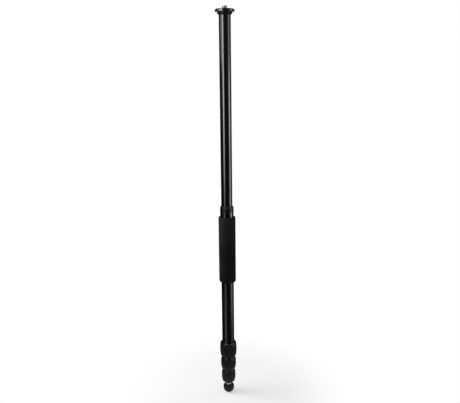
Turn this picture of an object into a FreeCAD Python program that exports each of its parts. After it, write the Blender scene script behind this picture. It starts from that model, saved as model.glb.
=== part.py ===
import FreeCAD, Part
import math
import os

# Monopod made from a tripod's detachable leg and its two-piece centre column.
# Millimetres, +Z up, the pole's axis on Z, the foot's contact face at z = 0.
# The leg is pushed in. The front of the pole faces -Y.

# Fits
running_clearance = 0.05
fixed_gap = 0.03
free_gap = 0.3
washer_gap = 0.05
cut_margin = 1.0

# Leg tubes, numbered 1 (widest, top) to 4 (narrowest, bottom)
section_count = 4
leg_tube_radius_1 = 12.5
leg_tube_wall = 1.0
guide_gap = 0.5
shim_height = 32.0
shim_split = 1.0
shim_inset = 2.0
nested_end_step = 2.0
stop_margin = 0.5

# Foot
foot_radius = 11.4
foot_contact_radius = 3.5
foot_barrel_height = 3.4
foot_barrel_taper = 0.25
foot_shoulder_round = 2.6
foot_sole = 5.5
foot_insert_radius = 4.8
foot_insert_floor = 1.2
foot_stud_radius = 3.0
foot_stud_reach = 11.0
jam_nut_across_flats = 10.0
jam_nut_height = 5.0
jam_nut_chamfer = 0.6
foot_plug_flange = 1.6
foot_plug_chamfer_width = 2.0
foot_plug_chamfer_height = 1.2
foot_plug_spigot = 16.0
bare_tube_above_foot = 1.7

# Twist locks, numbered 1 (top) to 3 (bottom)
sleeve_heights = {1: 24.4, 2: 19.9, 3: 19.4}
sleeve_walls = {1: 2.2, 2: 2.25, 3: 2.5}
lip_height = 6.5
lip_bottom_wall = 1.4
lip_rim_step = 0.13
lip_bulge = 2.1
shoulder_height = 1.8
shoulder_wall = 2.7
shoulder_chamfer = 1.0
lock_gap = 1.6
collar_wall = 1.2
collar_step_height = 2.0
ring_wall = 1.25
sleeve_bottom_inset = 0.7
sleeve_top_inset = 1.0
sleeve_top_chamfer = 0.9
flute_count = 32
flute_radius = 0.95
flute_depth = 0.75
flute_end_margin = 3.0
collet_floor = 2.6
collet_height = 6.1
collet_floor_gap = 0.2
collet_bottom_wall = 1.0
collet_top_wall = 2.0
collet_top_gap = 0.1
collet_seat_gap = 0.1
collet_slit = 1.5
collet_short_slits = 3
collet_short_slit_end = 1.8
key_width = 3.0
key_height = 1.5
key_side_gap = 0.1
seal_low = 0.8
seal_height = 1.2
seal_wall = 1.4

# Grip and the leg's top end
grip_height_above_floor = 249.9
grip_length = 135.6
grip_wall = 4.4
grip_top_round = 2.8
grip_bottom_chamfer = 3.0
leg_end_ring_height = 10.5
leg_collar_radius = 13.35
leg_collar_height = 10.4
leg_collar_top_margin = 0.3
leg_collar_chamfer_height = 2.0
leg_collar_spigot = 16.0

# Column
column_radius = 11.0
column_wall = 1.5
lower_column_length = 287.8
upper_column_length = 64.3
base_washer_radius = 11.4
base_washer_height = 2.2
joint_washer_radius = 10.6
joint_washer_height = 1.0
bush_height = 18.0
stud_radius = 4.7625
stud_pitch = 1.5875
stud_turns = 5
stud_seat_depth = 12.0
stud_end_chamfer = 0.8

# Head, disc and camera screw
head_spigot = 18.0
head_taper_height = 2.4
head_taper_foot = 0.4
head_flange_radius = 13.75
head_flange_height = 2.9
head_flange_undercut = 0.8
disc_radius = 17.9
disc_height = 5.1
disc_top_chamfer = 1.2
disc_bottom_chamfer = 0.4
camera_screw_height = 5.8
camera_screw_seat = 12.0
camera_screw_seat_radius = 4.5
camera_screw_slot_width = 1.4
camera_screw_slot_depth = 1.6

# Sizes that follow
stud_grip_length = stud_turns * stud_pitch
foot_equator = math.sqrt(foot_radius**2 - foot_contact_radius**2)
foot_top = foot_equator + foot_barrel_height + foot_shoulder_round
jam_nut_top = foot_top + jam_nut_height
foot_plug_top = jam_nut_top + foot_plug_flange
collar_floor = collet_floor + collet_floor_gap + collet_height + collet_top_gap
grip_top = grip_height_above_floor + grip_length
leg_end_ring_top = grip_top + leg_end_ring_height
leg_collar_top = leg_end_ring_top + leg_collar_height
lower_column_low = leg_collar_top + base_washer_height
lower_column_high = lower_column_low + lower_column_length
upper_column_low = lower_column_high + joint_washer_height
upper_column_high = upper_column_low + upper_column_length
head_flange_low = upper_column_high + head_taper_height
disc_low = head_flange_low + head_flange_height
disc_high = disc_low + disc_height
spigot_radius = column_radius - column_wall - fixed_gap


def leg_radius(tube):
    return leg_tube_radius_1 - (tube - 1) * (leg_tube_wall + guide_gap)


def bore_radius(tube):
    return leg_radius(tube) - leg_tube_wall


def lock_low(lock):
    """Height of the bottom of a lock's lip."""
    if lock == section_count - 1:
        return foot_plug_top + bare_tube_above_foot
    return shoulder_high(lock + 1) + lock_gap


def sleeve_low(lock):
    return lock_low(lock) + lip_height


def sleeve_high(lock):
    return sleeve_low(lock) + sleeve_heights[lock]


def shoulder_high(lock):
    return sleeve_high(lock) + shoulder_height


def ring_radius(lock):
    """Outer radius of a twist ring's wall under the sleeve."""
    return leg_radius(lock) + collar_wall + running_clearance + ring_wall


def sleeve_crown(lock):
    return ring_radius(lock) + fixed_gap + sleeve_walls[lock]


def tube_low(tube):
    if tube == section_count:
        return foot_plug_top
    return lock_low(tube) + collar_floor + collar_step_height


def tube_high(tube):
    if tube == 1:
        return leg_end_ring_top
    spigot_low = leg_end_ring_top - leg_collar_spigot
    return spigot_low - (tube - 1) * nested_end_step


def shim_low(tube):
    return tube_high(tube) - shim_inset - shim_height


def section_travel(tube):
    """How far a tube slides out of the next wider one before its shims meet the collar's step."""
    return shim_low(tube) - tube_low(tube - 1) - stop_margin


def on_profile(point):
    radius, height = point
    return FreeCAD.Vector(radius, 0, height)


def arc(middle, end):
    """A profile step along a circle through a middle point."""
    return ("arc", middle, end)


def curve(control, end):
    """A profile step along a slight curve that its control point pulls outwards."""
    return ("curve", control, end)


def profile_edge(here, step):
    """The edge of one profile step, and the point where it ends."""
    if step[0] == "arc":
        middle, there = on_profile(step[1]), on_profile(step[2])
        return Part.Arc(here, middle, there).toShape(), there
    if step[0] == "curve":
        control, there = on_profile(step[1]), on_profile(step[2])
        bezier = Part.BezierCurve()
        bezier.setPoles([here, control, there])
        return bezier.toShape(), there
    there = on_profile(step)
    return Part.LineSegment(here, there).toShape(), there


def turned(start, *steps):
    """Solid turned about Z from a closed profile. A step is a point (radius, height), an arc or a curve."""
    edges = []
    here = on_profile(start)
    for step in steps + (start,):
        edge, here = profile_edge(here, step)
        edges.append(edge)
    face = Part.Face(Part.Wire(edges))
    return face.revolve(FreeCAD.Vector(0, 0, 0), FreeCAD.Vector(0, 0, 1), 360)


def hollow(inner, outer, low, high):
    return turned((inner, low), (outer, low), (outer, high), (inner, high))


def rod(radius, low, high):
    return turned((0, low), (radius, low), (radius, high), (0, high))


def block(x_range, y_range, z_range):
    size = [high - low for low, high in (x_range, y_range, z_range)]
    corner = FreeCAD.Vector(x_range[0], y_range[0], z_range[0])
    return Part.makeBox(*size, corner)


def turned_copy(shape, degrees):
    copy = shape.copy()
    copy.rotate(FreeCAD.Vector(0, 0, 0), FreeCAD.Vector(0, 0, 1), degrees)
    return copy


def stud(low, high):
    """Threaded stud, its thread drawn plain at the outside diameter, with both ends chamfered."""
    edge = stud_radius - stud_end_chamfer
    return turned(
        (0, low),
        (edge, low),
        (stud_radius, low + stud_end_chamfer),
        (stud_radius, high - stud_end_chamfer),
        (edge, high),
        (0, high),
    )


# Foot


def rubber_foot():
    barrel_top = foot_equator + foot_barrel_height
    top_radius = foot_radius - foot_barrel_taper
    low_angle = math.atan2(foot_equator, foot_contact_radius) / 2
    low_middle = (
        foot_radius * math.cos(low_angle),
        foot_equator - foot_radius * math.sin(low_angle),
    )
    round_centre = top_radius - foot_shoulder_round
    round_reach = foot_shoulder_round * math.sqrt(0.5)
    round_middle = (round_centre + round_reach, barrel_top + round_reach)
    pocket = foot_insert_radius + fixed_gap
    return turned(
        (0, 0),
        (foot_contact_radius, 0),
        arc(low_middle, (foot_radius, foot_equator)),
        (top_radius, barrel_top),
        arc(round_middle, (round_centre, foot_top)),
        (pocket, foot_top),
        (pocket, foot_sole),
        (0, foot_sole),
    )


def foot_insert():
    bore = foot_stud_radius + fixed_gap
    floor = foot_sole + foot_insert_floor
    return turned(
        (0, foot_sole),
        (foot_insert_radius, foot_sole),
        (foot_insert_radius, foot_top),
        (bore, foot_top),
        (bore, floor),
        (0, floor),
    )


def foot_stud():
    low = foot_sole + foot_insert_floor
    return rod(foot_stud_radius, low, foot_plug_top + foot_stud_reach)


def foot_jam_nut():
    """Hexagon nut with chamfered corners, one corner to the front."""
    corner = jam_nut_across_flats / math.sqrt(3)
    bore = foot_stud_radius + fixed_gap
    angles = [math.radians(60 * n) for n in range(7)]
    points = [
        FreeCAD.Vector(corner * math.sin(angle), -corner * math.cos(angle), foot_top)
        for angle in angles
    ]
    hexagon = Part.Face(Part.makePolygon(points))
    prism = hexagon.extrude(FreeCAD.Vector(0, 0, jam_nut_height))
    edge = corner - jam_nut_chamfer
    envelope = turned(
        (bore, foot_top),
        (edge, foot_top),
        (corner, foot_top + jam_nut_chamfer / 2),
        (corner, jam_nut_top - jam_nut_chamfer / 2),
        (edge, jam_nut_top),
        (bore, jam_nut_top),
    )
    return prism.common(envelope)


def foot_plug():
    outer = leg_radius(section_count)
    spigot = bore_radius(section_count) - fixed_gap
    bore = foot_stud_radius + fixed_gap
    bore_top = foot_plug_top + foot_stud_reach
    top = foot_plug_top + foot_plug_spigot
    return turned(
        (bore, jam_nut_top),
        (outer - foot_plug_chamfer_width, jam_nut_top),
        (outer, jam_nut_top + foot_plug_chamfer_height),
        (outer, foot_plug_top),
        (spigot, foot_plug_top),
        (spigot, top),
        (0, top),
        (0, bore_top),
        (bore, bore_top),
    )


# Leg tubes and their guide shims


def leg_tube(tube):
    return hollow(bore_radius(tube), leg_radius(tube), tube_low(tube), tube_high(tube))


def tube_shims(tube):
    """Two half-round shells round a tube's upper end, which guide it in the next wider tube."""
    low = shim_low(tube)
    high = low + shim_height
    inner = leg_radius(tube) + fixed_gap
    outer = bore_radius(tube - 1) - running_clearance
    shell = hollow(inner, outer, low, high)
    reach = outer + cut_margin
    half = shim_split / 2
    gap = block((-half, half), (-reach, reach), (low - cut_margin, high + cut_margin))
    return shell.cut(gap)


# Twist locks


def lock_collar(lock):
    """Threaded collar on the outer tube's end, with a step under the tube and a shoulder above the ring."""
    tube = leg_radius(lock)
    floor = lock_low(lock) + collar_floor
    step = floor + collar_step_height
    shoulder = sleeve_high(lock) + free_gap
    top = shoulder_high(lock)
    thread = tube + collar_wall
    body = turned(
        (leg_radius(lock + 1) + free_gap, floor),
        (thread, floor),
        (thread, shoulder),
        (tube + shoulder_wall, shoulder),
        (tube + shoulder_wall, top - shoulder_chamfer),
        (tube + shoulder_wall - shoulder_chamfer, top),
        (tube + fixed_gap, top),
        (tube + fixed_gap, step),
        (leg_radius(lock + 1) + free_gap, step),
    )
    notch_reach = leg_radius(lock + 1) + collet_top_wall + key_side_gap
    half = key_width / 2 + key_side_gap
    notch_top = floor + key_height + key_side_gap
    notch_low = floor - cut_margin
    notch = block((-half, half), (-notch_reach, notch_reach), (notch_low, notch_top))
    return body.cut(notch)


def lock_ring(lock):
    """Twist ring: lip with the seal's groove, tapered seat for the collet, and threaded upper wall."""
    outer_tube = leg_radius(lock)
    inner_tube = leg_radius(lock + 1)
    low = lock_low(lock)
    rim = low + lip_height
    top = sleeve_high(lock)
    bore = inner_tube + free_gap
    thread = outer_tube + collar_wall + running_clearance
    wall = ring_radius(lock)
    seat_low = low + collet_floor
    seat_high = seat_low + collet_height
    groove = inner_tube + seal_wall + fixed_gap
    lip_low = (inner_tube + lip_bottom_wall, low)
    lip_rim = (sleeve_crown(lock) - sleeve_bottom_inset - lip_rim_step, rim)
    lip_control = (
        (lip_low[0] + lip_rim[0]) / 2 + lip_bulge,
        (lip_low[1] + lip_rim[1]) / 2 - lip_bulge,
    )
    return turned(
        (bore, low),
        lip_low,
        curve(lip_control, lip_rim),
        (wall, rim),
        (wall, top),
        (thread, top),
        (thread, seat_high),
        (inner_tube + collet_top_wall + collet_seat_gap, seat_high),
        (inner_tube + collet_bottom_wall + collet_seat_gap, seat_low),
        (bore, seat_low),
        (bore, low + seal_low + seal_height),
        (groove, low + seal_low + seal_height),
        (groove, low + seal_low),
        (bore, low + seal_low),
    )


def lock_sleeve(lock):
    """Barrel-shaped rubber sleeve with a row of upright flutes that grow shallower towards its ends."""
    inner = ring_radius(lock) + fixed_gap
    crown = sleeve_crown(lock)
    low = sleeve_low(lock)
    high = sleeve_high(lock)
    rim_high = high - sleeve_top_chamfer
    pull = crown + (sleeve_bottom_inset + sleeve_top_inset) / 2
    body = turned(
        (inner, low),
        (crown - sleeve_bottom_inset, low),
        curve((pull, (low + rim_high) / 2), (crown - sleeve_top_inset, rim_high)),
        (crown - sleeve_top_inset - sleeve_top_chamfer, high),
        (inner, high),
    )
    axis_radius = crown - flute_depth + flute_radius
    flute_length = rim_high - low - 2 * flute_end_margin
    place = FreeCAD.Vector(axis_radius, 0, low + flute_end_margin)
    cutter = Part.makeCylinder(flute_radius, flute_length, place)
    step = 360 / flute_count
    flutes = [turned_copy(cutter, n * step) for n in range(flute_count)]
    return body.cut(flutes)


def lock_collet(lock):
    """Tapered collet, slit through on one side and part way on the others, with two keys on top."""
    tube = leg_radius(lock + 1)
    inner = tube + running_clearance
    low = lock_low(lock) + collet_floor + collet_floor_gap
    high = low + collet_height
    body = turned(
        (inner, low),
        (tube + collet_bottom_wall, low),
        (tube + collet_top_wall, high),
        (inner, high),
    )
    reach = tube + collet_top_wall
    half = key_width / 2
    keys = hollow(inner, reach, high, high + key_height).common(
        block((-half, half), (-reach, reach), (high, high + key_height))
    )
    body = body.fuse(keys).removeSplitter()
    slit_half = collet_slit / 2
    slit_reach = reach + cut_margin
    slit_low = low - cut_margin
    slit_high = high + cut_margin
    long_slit = block((0, slit_reach), (-slit_half, slit_half), (slit_low, slit_high))
    short_top = high - collet_short_slit_end
    short_slit = block((0, slit_reach), (-slit_half, slit_half), (slit_low, short_top))
    step = 360 / (collet_short_slits + 1)
    cutters = [turned_copy(short_slit, n * step) for n in range(1, collet_short_slits + 1)]
    return body.cut(Part.makeCompound([long_slit] + cutters))


def lock_seal(lock):
    tube = leg_radius(lock + 1)
    low = lock_low(lock) + seal_low
    return hollow(tube + running_clearance, tube + seal_wall, low, low + seal_height)


# Grip and the leg's top end


def foam_grip():
    inner = leg_radius(1) + fixed_gap
    outer = inner + grip_wall
    low = grip_height_above_floor
    centre = (outer - grip_top_round, grip_top - grip_top_round)
    reach = grip_top_round * math.sqrt(0.5)
    return turned(
        (inner, low),
        (outer - grip_bottom_chamfer, low),
        (outer, low + grip_bottom_chamfer),
        (outer, grip_top - grip_top_round),
        arc((centre[0] + reach, centre[1] + reach), (centre[0], grip_top)),
        (inner, grip_top),
    )


def leg_end_ring():
    return hollow(leg_radius(1) + fixed_gap, leg_collar_radius, grip_top, leg_end_ring_top)


def leg_top_collar():
    """Plug of the outer tube, whose head narrows in a tall chamfer to the washer on it."""
    spigot = bore_radius(1) - fixed_gap
    bore = stud_radius + fixed_gap
    bore_low = leg_collar_top - stud_seat_depth
    spigot_low = leg_end_ring_top - leg_collar_spigot
    return turned(
        (0, spigot_low),
        (spigot, spigot_low),
        (spigot, leg_end_ring_top),
        (leg_collar_radius, leg_end_ring_top),
        (leg_collar_radius, leg_collar_top - leg_collar_chamfer_height),
        (base_washer_radius + leg_collar_top_margin, leg_collar_top),
        (bore, leg_collar_top),
        (bore, bore_low),
        (0, bore_low),
    )


def leg_top_stud():
    return stud(leg_collar_top - stud_seat_depth, lower_column_low + stud_grip_length)


# Column


def column_tube(low, high):
    return hollow(column_radius - column_wall, column_radius, low, high)


def washer(radius, low, height):
    """Washer of a screw joint, with a hair of room under and over it."""
    inner = stud_radius + free_gap
    return hollow(inner, radius, low + washer_gap, low + height - washer_gap)


def moving_bush(low):
    """Bush whose thread turns on a stud."""
    return hollow(stud_radius + running_clearance, spigot_radius, low, low + bush_height)


def fixed_bush(high):
    """Bush that holds a stud."""
    return hollow(stud_radius + fixed_gap, spigot_radius, high - bush_height, high)


def column_joint_stud():
    low = lower_column_high - stud_seat_depth
    return stud(low, upper_column_low + stud_grip_length)


def column_head():
    bore = camera_screw_seat_radius + fixed_gap
    low = upper_column_high - head_spigot
    bore_low = disc_low - camera_screw_seat
    return turned(
        (0, low),
        (spigot_radius, low),
        (spigot_radius, upper_column_high),
        (column_radius, upper_column_high),
        (column_radius, upper_column_high + head_taper_foot),
        (head_flange_radius - head_flange_undercut, head_flange_low),
        (head_flange_radius, head_flange_low),
        (head_flange_radius, disc_low),
        (bore, disc_low),
        (bore, bore_low),
        (0, bore_low),
    )


def mounting_disc():
    bore = stud_radius + fixed_gap
    return turned(
        (bore, disc_low),
        (disc_radius - disc_bottom_chamfer, disc_low),
        (disc_radius, disc_low + disc_bottom_chamfer),
        (disc_radius, disc_high - disc_top_chamfer),
        (disc_radius - disc_top_chamfer, disc_high),
        (bore, disc_high),
    )


def camera_screw():
    """Slotted screw, narrower below the disc's face, its thread drawn plain at the outside diameter."""
    top = disc_high + camera_screw_height
    edge = stud_radius - stud_end_chamfer
    low = disc_low - camera_screw_seat
    body = turned(
        (0, low),
        (camera_screw_seat_radius, low),
        (camera_screw_seat_radius, disc_high),
        (stud_radius, disc_high),
        (stud_radius, top - stud_end_chamfer),
        (edge, top),
        (0, top),
    )
    half = camera_screw_slot_width / 2
    reach = stud_radius + cut_margin
    slot_low = top - camera_screw_slot_depth
    return body.cut(block((-reach, reach), (-half, half), (slot_low, top + cut_margin)))


def all_pieces():
    pieces = {
        "camera_screw": camera_screw(),
        "mounting_disc": mounting_disc(),
        "column_head": column_head(),
        "upper_column_tube": column_tube(upper_column_low, upper_column_high),
        "upper_column_bush": moving_bush(upper_column_low),
        "column_joint_washer": washer(joint_washer_radius, lower_column_high, joint_washer_height),
        "column_joint_stud": column_joint_stud(),
        "lower_column_top_bush": fixed_bush(lower_column_high),
        "lower_column_tube": column_tube(lower_column_low, lower_column_high),
        "lower_column_bottom_bush": moving_bush(lower_column_low),
        "column_base_washer": washer(base_washer_radius, leg_collar_top, base_washer_height),
        "leg_top_stud": leg_top_stud(),
        "leg_top_collar": leg_top_collar(),
        "leg_end_ring": leg_end_ring(),
        "foam_grip": foam_grip(),
        "foot_plug": foot_plug(),
        "foot_stud": foot_stud(),
        "foot_jam_nut": foot_jam_nut(),
        "foot_insert": foot_insert(),
        "rubber_foot": rubber_foot(),
    }
    for tube in range(1, section_count + 1):
        pieces[f"leg_tube_{tube}"] = leg_tube(tube)
    for tube in range(2, section_count + 1):
        pieces[f"tube_{tube}_shims"] = tube_shims(tube)
    for lock in range(1, section_count):
        pieces[f"lock_{lock}_collar"] = lock_collar(lock)
        pieces[f"lock_{lock}_ring"] = lock_ring(lock)
        pieces[f"lock_{lock}_sleeve"] = lock_sleeve(lock)
        pieces[f"lock_{lock}_collet"] = lock_collet(lock)
        pieces[f"lock_{lock}_seal"] = lock_seal(lock)
    return pieces


os.makedirs("parts", exist_ok=True)
for name, shape in all_pieces().items():
    shape.exportStep(f"parts/{name}.step")
for tube in range(2, section_count + 1):
    print(f"tube {tube} slides out by {section_travel(tube):.2f} mm")
print(f"a column joint lifts by {stud_grip_length:.4f} mm in {stud_turns} turns")
print(f"the part is {disc_high + camera_screw_height:.2f} mm tall")
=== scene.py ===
import math

import bmesh
import bpy
from mathutils import Matrix, Vector, noise


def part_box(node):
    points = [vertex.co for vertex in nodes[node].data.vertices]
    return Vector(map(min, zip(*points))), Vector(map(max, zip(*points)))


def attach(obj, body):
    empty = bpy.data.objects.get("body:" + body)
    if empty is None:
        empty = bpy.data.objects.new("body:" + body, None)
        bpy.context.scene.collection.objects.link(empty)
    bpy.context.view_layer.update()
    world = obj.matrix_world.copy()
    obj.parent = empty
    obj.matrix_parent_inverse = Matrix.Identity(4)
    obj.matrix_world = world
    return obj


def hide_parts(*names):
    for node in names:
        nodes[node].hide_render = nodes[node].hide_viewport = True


# Looks of a monopod made from a tripod's leg and centre column. Metres, +Z up, the pole's axis on Z.

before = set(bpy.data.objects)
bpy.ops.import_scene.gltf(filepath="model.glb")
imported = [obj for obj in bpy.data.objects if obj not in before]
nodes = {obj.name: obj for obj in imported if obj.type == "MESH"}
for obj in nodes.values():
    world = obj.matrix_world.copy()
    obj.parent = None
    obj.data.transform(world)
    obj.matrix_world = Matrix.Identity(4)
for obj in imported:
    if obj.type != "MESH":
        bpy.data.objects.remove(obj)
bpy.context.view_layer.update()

mm = 0.001
locks = (1, 2, 3)

# Camera
camera_place = (0.00634, -0.990, 0.6448)
camera_pitch_down = 13.03
camera_roll = -0.556
camera_lens = 40.6
camera_sensor = 36.0

# Lights, with azimuths seen from the pole: 0 is to the front and 90 to the right
strip_distance = 0.35
strip_height = 1.1
left_strip = {
    "azimuth": -42.0,
    "width": 0.12,
    "radiance": 6.9,
    "tint": (0.96, 0.97, 1.0),
    "fade": (
        (0.0, 0.26),
        (0.07, 0.20),
        (0.14, 0.14),
        (0.28, 0.11),
        (0.36, 0.26),
        (0.43, 0.58),
        (0.52, 0.85),
        (0.60, 1.0),
        (1.1, 0.9),
    ),
}
right_strip = {
    "azimuth": 77.0,
    "width": 0.115,
    "radiance": 6.0,
    "tint": (1.0, 0.99, 0.94),
    "fade": (
        (0.0, 0.35),
        (0.34, 0.60),
        (0.45, 0.66),
        (0.56, 1.0),
        (0.62, 1.0),
        (0.72, 0.36),
        (1.1, 0.3),
    ),
}
left_wing = {"azimuth": -72.0, "distance": 0.6, "width": 0.34, "low": 0.70, "high": 1.7, "radiance": 2.0}
right_wing = {"azimuth": 112.0, "distance": 0.6, "width": 0.30, "low": 0.95, "high": 1.7, "radiance": 1.2}
matt_light = {"azimuth": -98.0, "distance": 0.9, "width": 0.5, "low": 0.0, "high": 1.6, "radiance": 2.6}
overhead_radiance = 0.3
overhead_size = 1.2
overhead_height = 1.9
ambient_light = 0.22

# Studio that the gloss sees, by how far a direction goes to the right or to the back
front_gloss_light = 0.008
right_gloss_light = 0.18
world_glow_from = 0.15
floor_glow_from = 0.6
white_behind_reach = (0.975, 0.998)

# Floor, where each pair of distances from the pole is a change's beginning and end
floor_reach = 60.0
floor_colour = (0.86, 0.86, 0.86, 1.0)
floor_roughness = 0.9
floor_paleness = 0.50
floor_turns_white = (0.10, 0.26)
# Painted glow on the floor that only reflections see: near the foot, and as a streak in front of the left
# strip
floor_near_glow = 0.6
floor_near_fades = (0.06, 0.16)
floor_streak_glow = 1.3
floor_streak_full_angle = 7.0
floor_streak_end_angle = 16.0
floor_streak_begins = (0.16, 0.25)
floor_streak_ends = (0.35, 0.42)

# Threads
thread_pitch = 1.5875 * mm
thread_depth = 0.86 * mm
thread_segments = 96
thread_rings_per_turn = 14
thread_crest_half = 0.10
thread_root_half = 0.10
thread_end_chamfer = 0.8 * mm
thread_sharp_angle = 35
shank_radius = 4.4 * mm
slot_width = 1.4 * mm
slot_depth = 1.6 * mm
slot_half_length = 6 * mm

# Rubber sleeves
rib_count = 32
rib_depth = 0.75 * mm
rib_points = 12
rib_roundness = 1.6
rib_run_out = 2.6 * mm
sleeve_walls = {1: 2.2 * mm, 2: 2.25 * mm, 3: 2.5 * mm}
sleeve_barrel = 0.9 * mm
sleeve_barrel_power = 2.4
sleeve_widest_share = 0.45
sleeve_end_round = 0.9 * mm
sleeve_plain_hem = 1.4 * mm
sleeve_steps = 44
sleeve_sharp_angle = 60

# Foam
foam_segments = 144
foam_ring_step = 1.0 * mm
foam_unevenness = 0.10 * mm
foam_top_round = 2.8 * mm
foam_bottom_round = 3.4 * mm
foam_round_steps = 6
foam_still_wall = 1.0 * mm
foam_wave_height = 22 * mm
foam_waves = 1.4
foam_sharp_angle = 50
# Painted light on the foam: how far down from its top it reaches, and how strong it is at the top
foam_painted_light_reach = 70 * mm
foam_painted_light_top = 1.2
fixed_gap = 0.03 * mm


# Nodes of a material


def start_material(name):
    """A new node material, its node tree, and the shader that feeds its output."""
    material = bpy.data.materials.new(name)
    material.use_nodes = True
    tree = material.node_tree
    tree.nodes.clear()
    output = tree.nodes.new("ShaderNodeOutputMaterial")
    shader = tree.nodes.new("ShaderNodeBsdfPrincipled")
    tree.links.new(shader.outputs["BSDF"], output.inputs["Surface"])
    return material, tree, shader


def object_place(tree, height_scale=1.0):
    """The place on the object in metres. A height scale below 1 draws a pattern out along the pole."""
    coordinates = tree.nodes.new("ShaderNodeTexCoord")
    mapping = tree.nodes.new("ShaderNodeMapping")
    mapping.inputs["Scale"].default_value = (1.0, 1.0, height_scale)
    tree.links.new(coordinates.outputs["Object"], mapping.inputs["Vector"])
    return mapping.outputs["Vector"]


def noise_value(tree, per_metre, detail=2.0, roughness=0.5, distortion=0.0, height_scale=1.0):
    place = object_place(tree, height_scale)
    texture = tree.nodes.new("ShaderNodeTexNoise")
    texture.inputs["Scale"].default_value = per_metre
    texture.inputs["Detail"].default_value = detail
    texture.inputs["Roughness"].default_value = roughness
    texture.inputs["Distortion"].default_value = distortion
    tree.links.new(place, texture.inputs["Vector"])
    return texture.outputs["Fac"]


def cells(tree, per_metre):
    place = object_place(tree)
    texture = tree.nodes.new("ShaderNodeTexVoronoi")
    texture.inputs["Scale"].default_value = per_metre
    tree.links.new(place, texture.inputs["Vector"])
    return texture.outputs["Distance"]


def spread(tree, value, reach, result=(0.0, 1.0)):
    """Maps a reach of the value to a range of results, clamped at both ends."""
    node = tree.nodes.new("ShaderNodeMapRange")
    node.inputs["From Min"].default_value = reach[0]
    node.inputs["From Max"].default_value = reach[1]
    node.inputs["To Min"].default_value = result[0]
    node.inputs["To Max"].default_value = result[1]
    tree.links.new(value, node.inputs["Value"])
    return node.outputs["Result"]


def smooth_spread(tree, value, reach, result=(0.0, 1.0)):
    """As spread, with soft ends."""
    spread_out = spread(tree, value, reach, result)
    spread_out.node.interpolation_type = "SMOOTHSTEP"
    return spread_out


def math_value(tree, operation, *values):
    node = tree.nodes.new("ShaderNodeMath")
    node.operation = operation
    for socket, value in zip(node.inputs, values):
        if isinstance(value, float):
            socket.default_value = value
        else:
            tree.links.new(value, socket)
    return node.outputs["Value"]


def mixed_colour(tree, factor, first, second):
    node = tree.nodes.new("ShaderNodeMix")
    node.data_type = "RGBA"
    node.inputs["A"].default_value = (*first, 1.0)
    node.inputs["B"].default_value = (*second, 1.0)
    tree.links.new(factor, node.inputs["Factor"])
    return node.outputs["Result"]


def bump(tree, shader, height, depth, under=None):
    """Bump whose height runs from 0 to 1 over depth metres, on top of another bump."""
    node = tree.nodes.new("ShaderNodeBump")
    node.inputs["Distance"].default_value = depth
    tree.links.new(height, node.inputs["Height"])
    if under is not None:
        tree.links.new(under, node.inputs["Normal"])
    tree.links.new(node.outputs["Normal"], shader.inputs["Normal"])
    return node.outputs["Normal"]


def place_parts(tree):
    """The place on the object taken apart into x, y and z."""
    separate = tree.nodes.new("ShaderNodeSeparateXYZ")
    tree.links.new(object_place(tree), separate.inputs["Vector"])
    return separate.outputs


def axis_distance(tree, x, y):
    """The distance from the pole's axis."""
    x_squared = math_value(tree, "MULTIPLY", x, x)
    y_squared = math_value(tree, "MULTIPLY", y, y)
    total = math_value(tree, "ADD", x_squared, y_squared)
    return math_value(tree, "POWER", total, 0.5)


def even_waves(tree, value, per_metre):
    """Waves from 0 to 1 along a value in metres."""
    angle = math_value(tree, "MULTIPLY", value, per_metre * 2.0 * math.pi)
    wave = math_value(tree, "SINE", angle)
    return spread(tree, wave, reach=(-1.0, 1.0))


def lathe_rings(tree, face_rings_per_metre, side_rings_per_metre):
    """Fine rings left by a lathe, on faces across the pole's axis and on sides along it."""
    x, y, z = place_parts(tree)
    face_rings = even_waves(tree, axis_distance(tree, x, y), face_rings_per_metre)
    side_rings = even_waves(tree, z, side_rings_per_metre)
    return math_value(tree, "ADD", face_rings, side_rings)


# Finishes


def gloss_black_metal():
    """Black anodised and polished metal: deep gloss, faint draw lines, smudges and a few dust specks."""
    material, tree, shader = start_material("gloss_black_metal_finish")
    black = (0.0014, 0.0016, 0.0022)
    dust_grey = (0.012, 0.012, 0.013)
    smudges = noise_value(tree, per_metre=60.0, detail=4.0, roughness=0.6)
    specks = noise_value(tree, per_metre=2600.0, detail=1.0)
    dust = smooth_spread(tree, specks, reach=(0.74, 0.82))
    tree.links.new(mixed_colour(tree, dust, black, dust_grey), shader.inputs["Base Color"])
    rough = smooth_spread(tree, smudges, reach=(0.30, 0.72), result=(0.28, 0.32))
    tree.links.new(rough, shader.inputs["Roughness"])
    shader.inputs["Specular IOR Level"].default_value = 0.42
    shader.inputs["Coat Weight"].default_value = 1.0
    shader.inputs["Coat Roughness"].default_value = 0.10
    draw_lines = noise_value(tree, per_metre=3800.0, height_scale=0.006)
    lines = bump(tree, shader, draw_lines, depth=0.0008 * mm)
    peel = noise_value(tree, per_metre=420.0, detail=1.0)
    bump(tree, shader, peel, depth=0.0025 * mm, under=lines)
    return material


def satin_metal(name, specular, roughness):
    """Black anodised metal: blasted grain, draw lines and rubbing. Roughness is fresh, then rubbed."""
    material, tree, shader = start_material(name)
    fresh = (0.0022, 0.0024, 0.0032)
    rubbed = (0.0055, 0.0058, 0.0068)
    rubbing = noise_value(tree, per_metre=150.0, detail=4.0, roughness=0.62, height_scale=0.12)
    worn = smooth_spread(tree, rubbing, reach=(0.48, 0.78))
    tree.links.new(mixed_colour(tree, worn, fresh, rubbed), shader.inputs["Base Color"])
    rough = spread(tree, rubbing, reach=(0.25, 0.80), result=roughness)
    tree.links.new(rough, shader.inputs["Roughness"])
    shader.inputs["Specular IOR Level"].default_value = specular
    grain = noise_value(tree, per_metre=5200.0)
    grains = bump(tree, shader, grain, depth=0.010 * mm)
    draw_lines = noise_value(tree, per_metre=2600.0, height_scale=0.01)
    bump(tree, shader, draw_lines, depth=0.004 * mm, under=grains)
    return material


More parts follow.
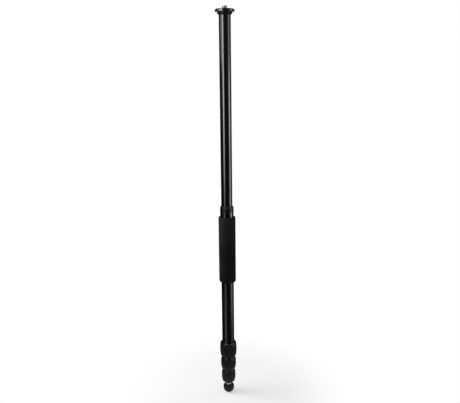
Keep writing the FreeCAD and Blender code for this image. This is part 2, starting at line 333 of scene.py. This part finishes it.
def satin_black_metal():
    """Finish of the leg tubes, the lock collars and the foot's plug."""
    return satin_metal("satin_black_metal_finish", specular=0.6, roughness=(0.34, 0.26))


def blasted_black_metal():
    """Duller finish of the twist rings and the leg's top collar."""
    return satin_metal("blasted_black_metal_finish", specular=0.4, roughness=(0.44, 0.34))


def matt_black_metal():
    """Still duller finish of the flange under the disc."""
    return satin_metal("matt_black_metal_finish", specular=0.22, roughness=(0.50, 0.40))


def machined_rim():
    """Dark bright-turned disc: lathe rings on its face and rim, and small bruises."""
    material, tree, shader = start_material("machined_rim_finish")
    dark = (0.082, 0.082, 0.085)
    light = (0.130, 0.129, 0.127)
    patches = noise_value(tree, per_metre=240.0, detail=3.0, roughness=0.6)
    tree.links.new(mixed_colour(tree, patches, dark, light), shader.inputs["Base Color"])
    shader.inputs["Metallic"].default_value = 1.0
    rough = spread(tree, patches, reach=(0.3, 0.75), result=(0.20, 0.29))
    tree.links.new(rough, shader.inputs["Roughness"])
    grooves = lathe_rings(tree, face_rings_per_metre=4200.0, side_rings_per_metre=5200.0)
    rings = bump(tree, shader, grooves, depth=0.0025 * mm)
    spots = noise_value(tree, per_metre=900.0, detail=1.0)
    bruises = smooth_spread(tree, spots, reach=(0.66, 0.76))
    bump(tree, shader, bruises, depth=-0.02 * mm, under=rings)
    return material


def plated_steel(name, dark, light, roughness):
    """Zinc-plated steel: stains and fine scratches. Roughness is in dark, then in light places."""
    material, tree, shader = start_material(name)
    stains = noise_value(tree, per_metre=420.0, detail=4.0, roughness=0.65)
    tree.links.new(mixed_colour(tree, stains, dark, light), shader.inputs["Base Color"])
    shader.inputs["Metallic"].default_value = 1.0
    rough = spread(tree, stains, reach=(0.3, 0.75), result=roughness)
    tree.links.new(rough, shader.inputs["Roughness"])
    scratches = noise_value(tree, per_metre=1500.0, detail=3.0, height_scale=6.0)
    bump(tree, shader, scratches, depth=0.008 * mm)
    return material


def bright_steel():
    """Warm plating of the camera screw and the studs."""
    dark = (0.50, 0.45, 0.37)
    light = (0.72, 0.67, 0.56)
    return plated_steel("bright_steel_finish", dark, light, roughness=(0.48, 0.34))


def nut_steel():
    """Newer and brighter plating of the foot's nut."""
    dark = (0.78, 0.74, 0.66)
    light = (0.94, 0.91, 0.84)
    return plated_steel("nut_steel_finish", dark, light, roughness=(0.40, 0.28))


def bare_aluminium():
    """Turned aluminium of the bushes and the foot's insert."""
    material, tree, shader = start_material("bare_aluminium_finish")
    dark = (0.62, 0.62, 0.63)
    light = (0.74, 0.74, 0.745)
    cloud = noise_value(tree, per_metre=300.0, detail=3.0)
    tree.links.new(mixed_colour(tree, cloud, dark, light), shader.inputs["Base Color"])
    shader.inputs["Metallic"].default_value = 1.0
    rough = spread(tree, cloud, reach=(0.3, 0.7), result=(0.30, 0.42))
    tree.links.new(rough, shader.inputs["Roughness"])
    grooves = lathe_rings(tree, face_rings_per_metre=3600.0, side_rings_per_metre=3600.0)
    bump(tree, shader, grooves, depth=0.004 * mm)
    return material


def rubber(name, dark, light, grain_depth, specular, roughness):
    """Moulded rubber: fine grain, slight swells and paler scuffs. Roughness is clean, then scuffed."""
    material, tree, shader = start_material(name)
    scuffs = noise_value(tree, per_metre=190.0, detail=5.0, roughness=0.65)
    scuffed = smooth_spread(tree, scuffs, reach=(0.40, 0.74))
    tree.links.new(mixed_colour(tree, scuffed, dark, light), shader.inputs["Base Color"])
    rough = spread(tree, scuffs, reach=(0.3, 0.75), result=roughness)
    tree.links.new(rough, shader.inputs["Roughness"])
    shader.inputs["Specular IOR Level"].default_value = specular
    grain = noise_value(tree, per_metre=3600.0, detail=3.0, roughness=0.6)
    grains = bump(tree, shader, grain, grain_depth)
    swells = noise_value(tree, per_metre=340.0)
    bump(tree, shader, swells, depth=0.03 * mm, under=grains)
    return material


def black_rubber():
    """Finish of the sleeves, the seals and the washer at the column's base."""
    dark = (0.0030, 0.0035, 0.0056)
    light = (0.0086, 0.0096, 0.0140)
    grain_depth = 0.020 * mm
    return rubber("black_rubber_finish", dark, light, grain_depth, specular=0.40, roughness=(0.42, 0.56))


def foot_rubber():
    """Browner and duller rubber of the foot."""
    dark = (0.0100, 0.0094, 0.0080)
    light = (0.0290, 0.0275, 0.0235)
    grain_depth = 0.035 * mm
    return rubber("foot_rubber_finish", dark, light, grain_depth, specular=0.45, roughness=(0.60, 0.80))


def black_foam():
    """Closed-cell foam: matt skin with small pores, a faint pale bloom at random, and painted light that
    makes it paler towards its top.
    """
    material, tree, shader = start_material("black_foam_finish")
    dark = (0.0030, 0.0033, 0.0033)
    bloom_and_painted_light = (0.0290, 0.0295, 0.0285)
    bloom = noise_value(tree, per_metre=70.0, detail=4.0, roughness=0.6, height_scale=0.4)
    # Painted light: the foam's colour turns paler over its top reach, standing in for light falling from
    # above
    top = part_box("foam_grip")[1].z
    height = place_parts(tree)["Z"]
    painted_light_span = (top - foam_painted_light_reach, top)
    painted_top_light = smooth_spread(tree, height, painted_light_span, result=(0.0, foam_painted_light_top))
    paleness = math_value(tree, "ADD", bloom, painted_top_light)
    tree.links.new(mixed_colour(tree, paleness, dark, bloom_and_painted_light), shader.inputs["Base Color"])
    rough = spread(tree, bloom, reach=(0.3, 0.7), result=(0.74, 0.90))
    tree.links.new(rough, shader.inputs["Roughness"])
    shader.inputs["Specular IOR Level"].default_value = 0.03
    shader.inputs["Sheen Weight"].default_value = 0.005
    shader.inputs["Sheen Roughness"].default_value = 0.6
    pits = bump(tree, shader, cells(tree, per_metre=1500.0), depth=0.10 * mm)
    grain = noise_value(tree, per_metre=2600.0)
    bump(tree, shader, grain, depth=0.04 * mm, under=pits)
    return material


def moulded_plastic(name, dark, light):
    """Injection-moulded plastic with a fine mould grain and flow marks."""
    material, tree, shader = start_material(name)
    flow = noise_value(tree, per_metre=260.0, detail=3.0, roughness=0.55, distortion=0.6, height_scale=0.3)
    tree.links.new(mixed_colour(tree, flow, dark, light), shader.inputs["Base Color"])
    rough = spread(tree, flow, reach=(0.3, 0.7), result=(0.38, 0.50))
    tree.links.new(rough, shader.inputs["Roughness"])
    grain = noise_value(tree, per_metre=3200.0)
    bump(tree, shader, grain, depth=0.012 * mm)
    return material


def black_plastic():
    """Finish of the thin washer in the column's joint."""
    dark = (0.010, 0.010, 0.011)
    light = (0.015, 0.015, 0.016)
    return moulded_plastic("black_plastic_finish", dark, light)


def grey_plastic():
    """Finish of the guide shims and the collets."""
    dark = (0.20, 0.20, 0.205)
    light = (0.25, 0.25, 0.25)
    return moulded_plastic("grey_plastic_finish", dark, light)


finishes = {
    "gloss_black_metal": gloss_black_metal(),
    "satin_black_metal": satin_black_metal(),
    "machined_rim": machined_rim(),
    "bright_steel": bright_steel(),
    "bare_aluminium": bare_aluminium(),
    "black_rubber": black_rubber(),
    "foot_rubber": foot_rubber(),
    "black_foam": black_foam(),
    "black_plastic": black_plastic(),
    "grey_plastic": grey_plastic(),
}


def finish_cad_nodes():
    """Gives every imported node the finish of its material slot, and a few nodes a finish of their own."""
    own_finishes = {"column_head": matt_black_metal(), "foot_jam_nut": nut_steel()}
    ring_finish = blasted_black_metal()
    for name in ["leg_top_collar"] + [f"lock_{lock}_ring" for lock in locks]:
        own_finishes[name] = ring_finish
    for name, cad_object in nodes.items():
        for material_slot in cad_object.material_slots:
            slot_finish = finishes[material_slot.material.name]
            material_slot.material = own_finishes.get(name, slot_finish)


# Making a piece


def object_from(shape, name):
    """Turns a bmesh into a mesh object of the scene."""
    mesh = bpy.data.meshes.new(name)
    shape.to_mesh(mesh)
    shape.free()
    made = bpy.data.objects.new(name, mesh)
    bpy.context.scene.collection.objects.link(made)
    return made


def ring_points(radii, height):
    """One ring of points about Z, a radius for each point."""
    count = len(radii)
    points = []
    for index, radius in enumerate(radii):
        angle = 2 * math.pi * index / count
        points.append(Vector((radius * math.sin(angle), -radius * math.cos(angle), height)))
    return points


def skin_of_rings(name, rings, closed=False, capped=False):
    """A mesh object through rings of equally many points. Closed joins the last ring to the first."""
    shape = bmesh.new()
    rows = [[shape.verts.new(point) for point in ring] for ring in rings]
    pairs = list(zip(rows, rows[1:]))
    if closed:
        pairs.append((rows[-1], rows[0]))
    for low, high in pairs:
        count = len(low)
        for index in range(count):
            after = (index + 1) % count
            shape.faces.new((low[index], low[after], high[after], high[index]))
    if capped:
        shape.faces.new(list(reversed(rows[0])))
        shape.faces.new(rows[-1])
    bmesh.ops.recalc_face_normals(shape, faces=shape.faces)
    return object_from(shape, name)


def shade(piece, sharp_angle):
    """Smooth shading with sharp edges kept above an angle in degrees."""
    for face in piece.data.polygons:
        face.use_smooth = True
    piece.data.set_sharp_from_angle(angle=math.radians(sharp_angle))


def put_on(piece, body, slot, *replaced):
    """Gives a piece its finish, its body and the nodes that it stands for."""
    piece.data.materials.append(finishes[slot])
    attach(piece, body)
    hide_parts(*replaced)


def apply_modifiers(piece):
    graph = bpy.context.evaluated_depsgraph_get()
    made = bpy.data.meshes.new_from_object(piece.evaluated_get(graph))
    piece.modifiers.clear()
    piece.data = made


# Threaded pieces


def thread_drop(turn):
    """How deep a thread lies below its crest, from 0 to 1, at a place along one turn from 0 to 1."""
    from_crest = abs((turn % 1.0) - 0.5)
    slope = (0.5 - from_crest - thread_root_half) / (0.5 - thread_crest_half - thread_root_half)
    return max(0.0, min(1.0, 1.0 - slope))


def thread_rings(radius, low, high):
    """Rings of a real helical thread, chamfered at both its ends."""
    count = round((high - low) / thread_pitch * thread_rings_per_turn)
    rings = []
    for step in range(count + 1):
        height = low + (high - low) * step / count
        from_end = min(height - low, high - height)
        limit = radius - max(0.0, thread_end_chamfer - from_end)
        radii = []
        for index in range(thread_segments):
            turn = height / thread_pitch - index / thread_segments
            wound = radius - thread_depth * thread_drop(turn)
            radii.append(min(limit, wound))
        rings.append(ring_points(radii, height))
    return rings


def slot_cutter(top):
    """Block that stands across a screw's top and reaches down to the slot's floor."""
    shape = bmesh.new()
    bmesh.ops.create_cube(shape, size=1.0)
    size = Vector((2 * slot_half_length, slot_width, 2 * slot_depth))
    bmesh.ops.scale(shape, vec=size, verts=shape.verts)
    bmesh.ops.translate(shape, vec=(0, 0, top), verts=shape.verts)
    return object_from(shape, "slot_cutter")


def cut_slot(piece, top):
    """Saws a screwdriver slot across a screw's top."""
    cutter = slot_cutter(top)
    saw = piece.modifiers.new("slot", "BOOLEAN")
    saw.operation = "DIFFERENCE"
    saw.solver = "EXACT"
    saw.object = cutter
    apply_modifiers(piece)
    cutter_mesh = cutter.data
    bpy.data.objects.remove(cutter)
    bpy.data.meshes.remove(cutter_mesh)


def make_camera_screw():
    """Screw with a plain shank in the disc and a thread above it."""
    low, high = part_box("camera_screw")
    disc_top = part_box("mounting_disc")[1].z
    thread_low = disc_top - thread_end_chamfer
    shank = [ring_points([shank_radius] * thread_segments, height) for height in (low.z, thread_low)]
    rings = shank + thread_rings(high.x, thread_low, high.z)
    piece = skin_of_rings("camera_screw_thread", rings, capped=True)
    cut_slot(piece, high.z)
    shade(piece, thread_sharp_angle)
    put_on(piece, "upper_column", "bright_steel", "camera_screw")


def make_joint_stud(name, node, body):
    """Stud that is threaded over its whole length."""
    low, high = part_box(node)
    piece = skin_of_rings(name, thread_rings(high.x, low.z, high.z), capped=True)
    shade(piece, thread_sharp_angle)
    put_on(piece, body, "bright_steel", node)


# Rubber sleeves


def rib_dip(share):
    """How far the skin lies below a rib's crest at a share of the pitch, from 0 to 1 in the groove."""
    return (0.5 + 0.5 * math.cos(2 * math.pi * share)) ** rib_roundness


def rib_height_share(from_end):
    """How much of its full height a rib has at a distance from the sleeve's end."""
    share = min(1.0, max(0.0, (from_end - sleeve_plain_hem) / rib_run_out))
    return share * share * (3 - 2 * share)


def sleeve_radius(crown, share, from_end):
    """Radius on the ribs at a share of the sleeve's height: a barrel with rounded ends."""
    from_widest = 2 * abs(share - sleeve_widest_share)
    radius = crown - sleeve_barrel * from_widest**sleeve_barrel_power
    if from_end < sleeve_end_round:
        past_round = sleeve_end_round - from_end
        radius -= sleeve_end_round - math.sqrt(sleeve_end_round**2 - past_round**2)
    return radius


def make_sleeve(lock):
    """Barrel-shaped rubber sleeve whose ribs run out smoothly into a plain hem at each end."""
    node = f"lock_{lock}_sleeve"
    low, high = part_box(node)
    height = high.z - low.z
    dips = [rib_dip(point / rib_points) for point in range(rib_count * rib_points)]
    rings = []
    for step in range(sleeve_steps + 1):
        share = step / sleeve_steps
        from_end = min(share, 1 - share) * height
        outer = sleeve_radius(high.x, share, from_end)
        rib_height = rib_depth * rib_height_share(from_end)
        rings.append(ring_points([outer - rib_height * dip for dip in dips], low.z + share * height))
    inner = [high.x - sleeve_walls[lock]] * len(dips)
    rings.append(ring_points(inner, high.z))
    rings.append(ring_points(inner, low.z))
    piece = skin_of_rings(f"lock_{lock}_ribbed_sleeve", rings, closed=True)
    shade(piece, sleeve_sharp_angle)
    put_on(piece, f"twist_ring_{lock}", "black_rubber", node)


# Foam grip


def quarter_turn(steps):
    """Sine and cosine of evenly spaced angles from 0 to 90 degrees."""
    for index in range(steps + 1):
        angle = math.pi / 2 * index / steps
        yield math.sin(angle), math.cos(angle)


def foam_profile(low, high, inner, outer):
    """Outline of the foam from its bottom inner edge round to its top inner edge, as (radius, height)."""
    points = [(inner, low)]
    for sine, cosine in quarter_turn(foam_round_steps):
        radius = outer - foam_bottom_round * (1 - sine)
        points.append((radius, low + foam_bottom_round * (1 - cosine)))
    straight_low = low + foam_bottom_round
    straight_high = high - foam_top_round
    ring_count = round((straight_high - straight_low) / foam_ring_step)
    for index in range(1, ring_count):
        points.append((outer, straight_low + (straight_high - straight_low) * index / ring_count))
    for sine, cosine in quarter_turn(foam_round_steps):
        points.append((outer - foam_top_round * (1 - cosine), straight_high + foam_top_round * sine))
    points.append((inner, high))
    return points


def make_foam_grip():
    """Foam tube with soft ends and a slightly uneven skin."""
    low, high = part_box("foam_grip")
    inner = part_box("leg_tube_1")[1].x + fixed_gap
    outer = high.x - foam_unevenness
    rings = []
    for radius, height in foam_profile(low.z, high.z, inner, outer):
        unevenness = foam_unevenness if radius > inner + foam_still_wall else 0.0
        radii = []
        for index in range(foam_segments):
            angle = 2 * math.pi * index / foam_segments
            place = Vector((math.sin(angle), -math.cos(angle), height / foam_wave_height))
            radii.append(radius + noise.noise(place * foam_waves) * unevenness)
        rings.append(ring_points(radii, height))
    piece = skin_of_rings("foam_grip_skin", rings, closed=True)
    shade(piece, foam_sharp_angle)
    put_on(piece, "leg_section_1", "black_foam", "foam_grip")


# Studio


def make_camera():
    data = bpy.data.cameras.new("camera")
    data.lens = camera_lens
    data.sensor_width = camera_sensor
    camera = bpy.data.objects.new("camera", data)
    bpy.context.scene.collection.objects.link(camera)
    pitch = Matrix.Rotation(math.radians(90 - camera_pitch_down), 4, "X")
    roll = Matrix.Rotation(math.radians(camera_roll), 4, "Z")
    camera.matrix_world = Matrix.Translation(camera_place) @ pitch @ roll
    bpy.context.scene.camera = camera


def add_area_light(name, place, target, width, height, radiance):
    """Rectangular soft light of a given brightness that faces a point, unseen by the camera itself."""
    data = bpy.data.lights.new(name, "AREA")
    data.shape = "RECTANGLE"
    data.size = width
    data.size_y = height
    data.energy = radiance * width * height * math.pi
    lamp = bpy.data.objects.new(name, data)
    bpy.context.scene.collection.objects.link(lamp)
    direction = Vector(target) - Vector(place)
    lamp.location = place
    lamp.rotation_euler = direction.to_track_quat("-Z", "Y").to_euler()
    lamp.visible_camera = False
    return lamp


def fade_by_height(lamp, steps):
    """Makes an upright light follow steps of (height in metres, share of full brightness)."""
    lamp.data.use_nodes = True
    tree = lamp.data.node_tree
    emission = next(node for node in tree.nodes if node.type == "EMISSION")
    geometry = tree.nodes.new("ShaderNodeNewGeometry")
    separate = tree.nodes.new("ShaderNodeSeparateXYZ")
    tree.links.new(geometry.outputs["Parametric"], separate.inputs["Vector"])
    ramp = tree.nodes.new("ShaderNodeValToRGB")
    ramp.color_ramp.interpolation = "EASE"
    elements = ramp.color_ramp.elements
    while len(elements) < len(steps):
        elements.new(0.5)
    for element, (height, share) in zip(elements, steps):
        element.position = height / lamp.data.size_y
        element.color = (share, share, share, 1.0)
    tree.links.new(separate.outputs["Y"], ramp.inputs["Fac"])
    tree.links.new(ramp.outputs["Color"], emission.inputs["Strength"])


def on_circle(azimuth, distance, height):
    """A place at an azimuth from the pole, 0 to the front and 90 to the right."""
    angle = math.radians(azimuth)
    return (distance * math.sin(angle), -distance * math.cos(angle), height)


def make_strip(name, strip):
    """Upright strip light that stands on the floor and draws one line down the glossy pole."""
    middle = strip_height / 2
    place = on_circle(strip["azimuth"], strip_distance, middle)
    lamp = add_area_light(name, place, (0, 0, middle), strip["width"], strip_height, strip["radiance"])
    lamp.data.color = strip["tint"]
    fade_by_height(lamp, strip["fade"])
    lamp.visible_diffuse = False


def make_wing(name, wing):
    """Tall soft light at one side, from its low to its high edge."""
    middle = (wing["low"] + wing["high"]) / 2
    reach = wing["high"] - wing["low"]
    place = on_circle(wing["azimuth"], wing["distance"], middle)
    return add_area_light(name, place, (0, 0, middle), wing["width"], reach, wing["radiance"])


def make_lights():
    """Strips and wings for the gloss, one light for the matt parts alone, and a dim one overhead."""
    make_strip("left_strip", left_strip)
    make_strip("right_strip", right_strip)
    make_wing("left_wing", left_wing)
    make_wing("right_wing", right_wing)
    side_light = make_wing("side_light", matt_light)
    side_light.visible_glossy = False
    overhead_place = (0, 0, overhead_height)
    add_area_light("overhead", overhead_place, (0, 0, 0), overhead_size, overhead_size, overhead_radiance)


def ray_kind(tree, *kinds):
    """1 for rays of the named kinds, and 0 for others."""
    path = tree.nodes.new("ShaderNodeLightPath")
    total = path.outputs[kinds[0]]
    for kind in kinds[1:]:
        total = math_value(tree, "MAXIMUM", total, path.outputs[kind])
    return total


def gloss_rays(tree):
    return ray_kind(tree, "Is Glossy Ray", "Is Transmission Ray")


def studio_in_gloss(tree, rightwards, backwards, right_from):
    """What the gloss sees: white behind the object, a dim glow at its right, and dark elsewhere."""
    behind = smooth_spread(tree, backwards, white_behind_reach)
    glow = smooth_spread(tree, rightwards, (right_from, 1.0), (front_gloss_light, right_gloss_light))
    return math_value(tree, "MAXIMUM", behind, glow)


def make_world():
    """White to the camera, the gloss's studio to the gloss, and a modest ambient light to the rest."""
    world = bpy.data.worlds.new("studio")
    bpy.context.scene.world = world
    world.use_nodes = True
    tree = world.node_tree
    tree.nodes.clear()
    output = tree.nodes.new("ShaderNodeOutputWorld")
    background = tree.nodes.new("ShaderNodeBackground")
    background.inputs["Color"].default_value = (1.0, 1.0, 1.0, 1.0)
    tree.links.new(background.outputs["Background"], output.inputs["Surface"])
    coordinates = tree.nodes.new("ShaderNodeTexCoord")
    separate = tree.nodes.new("ShaderNodeSeparateXYZ")
    tree.links.new(coordinates.outputs["Generated"], separate.inputs["Vector"])
    rightwards, backwards = separate.outputs[:2]
    seen = studio_in_gloss(tree, rightwards, backwards, world_glow_from)
    in_gloss = gloss_rays(tree)
    to_camera = ray_kind(tree, "Is Camera Ray")
    gloss_share = math_value(tree, "MULTIPLY", seen, in_gloss)
    shown = math_value(tree, "MAXIMUM", gloss_share, to_camera)
    direct = math_value(tree, "MAXIMUM", in_gloss, to_camera)
    other = math_value(tree, "SUBTRACT", 1.0, direct)
    ambient = math_value(tree, "MULTIPLY", other, ambient_light)
    strength = math_value(tree, "ADD", shown, ambient)
    tree.links.new(strength, background.inputs["Strength"])


def painted_streak_on_floor(tree, rightwards, backwards, radius, azimuth):
    """Painted bright patch on the floor just in front of a strip light, seen only by the gloss; it stands
    in for the strip's pool of light.
    """
    angle = math.radians(azimuth)
    along_right = math_value(tree, "MULTIPLY", rightwards, math.sin(angle))
    along_back = math_value(tree, "MULTIPLY", backwards, -math.cos(angle))
    towards = math_value(tree, "ADD", along_right, along_back)
    outer = math.cos(math.radians(floor_streak_end_angle))
    inner = math.cos(math.radians(floor_streak_full_angle))
    across = smooth_spread(tree, towards, (outer, inner), (0.0, floor_streak_glow))
    begins = smooth_spread(tree, radius, floor_streak_begins)
    ends = smooth_spread(tree, radius, floor_streak_ends, (1.0, 0.0))
    along = math_value(tree, "MULTIPLY", begins, ends)
    return math_value(tree, "MULTIPLY", across, along)


def floor_in_gloss(tree, x, y, radius):
    """What the gloss sees of the floor, all of it painted glow: the studio's light, a painted patch in
    front of the left strip and a painted glow near the foot.
    """
    rightwards = math_value(tree, "DIVIDE", x, radius)
    backwards = math_value(tree, "DIVIDE", y, radius)
    around = studio_in_gloss(tree, rightwards, backwards, floor_glow_from)
    streak = painted_streak_on_floor(tree, rightwards, backwards, radius, left_strip["azimuth"])
    near = smooth_spread(tree, radius, floor_near_fades, (floor_near_glow, 0.0))
    lights = math_value(tree, "MAXIMUM", around, streak)
    return math_value(tree, "MAXIMUM", lights, near)


def emitted(tree, strength):
    """White light of a strength that other nodes give."""
    node = tree.nodes.new("ShaderNodeEmission")
    tree.links.new(strength, node.inputs["Strength"])
    return node.outputs["Emission"]


def floor_material():
    """Pale matt floor that keeps the shadow near the foot and runs out into plain white."""
    material, tree, shader = start_material("studio_floor")
    material.cycles.emission_sampling = "NONE"
    shader.inputs["Base Color"].default_value = floor_colour
    shader.inputs["Roughness"].default_value = floor_roughness
    shader.inputs["Specular IOR Level"].default_value = 0.0
    x, y = place_parts(tree)[:2]
    radius = axis_distance(tree, x, y)
    to_camera = ray_kind(tree, "Is Camera Ray")
    in_gloss = gloss_rays(tree)

    paleness = math_value(tree, "MULTIPLY", to_camera, floor_paleness)
    lit = tree.nodes.new("ShaderNodeAddShader")
    tree.links.new(shader.outputs["BSDF"], lit.inputs[0])
    tree.links.new(emitted(tree, paleness), lit.inputs[1])

    # Painted glow on the floor that only the gloss sees
    gloss_part = math_value(tree, "MULTIPLY", floor_in_gloss(tree, x, y, radius), in_gloss)
    plain = emitted(tree, math_value(tree, "MAXIMUM", to_camera, gloss_part))

    far = smooth_spread(tree, radius, floor_turns_white)
    far_in_camera = math_value(tree, "MULTIPLY", far, to_camera)
    plain_share = math_value(tree, "MAXIMUM", far_in_camera, in_gloss)
    mix = tree.nodes.new("ShaderNodeMixShader")
    tree.links.new(plain_share, mix.inputs["Fac"])
    tree.links.new(lit.outputs["Shader"], mix.inputs[1])
    tree.links.new(plain, mix.inputs[2])
    output = next(node for node in tree.nodes if node.type == "OUTPUT_MATERIAL")
    tree.links.new(mix.outputs["Shader"], output.inputs["Surface"])
    return material


def make_floor():
    shape = bmesh.new()
    bmesh.ops.create_grid(shape, x_segments=1, y_segments=1, size=floor_reach)
    floor = object_from(shape, "floor")
    floor.data.materials.append(floor_material())


def plain_view():
    bpy.context.scene.view_settings.view_transform = "Standard"


plain_view()
make_camera()
make_lights()
make_world()
make_floor()
finish_cad_nodes()
make_camera_screw()
make_joint_stud("column_joint_thread", "column_joint_stud", "lower_column")
make_joint_stud("leg_top_thread", "leg_top_stud", "leg_section_1")
make_foam_grip()
for lock in locks:
    make_sleeve(lock)
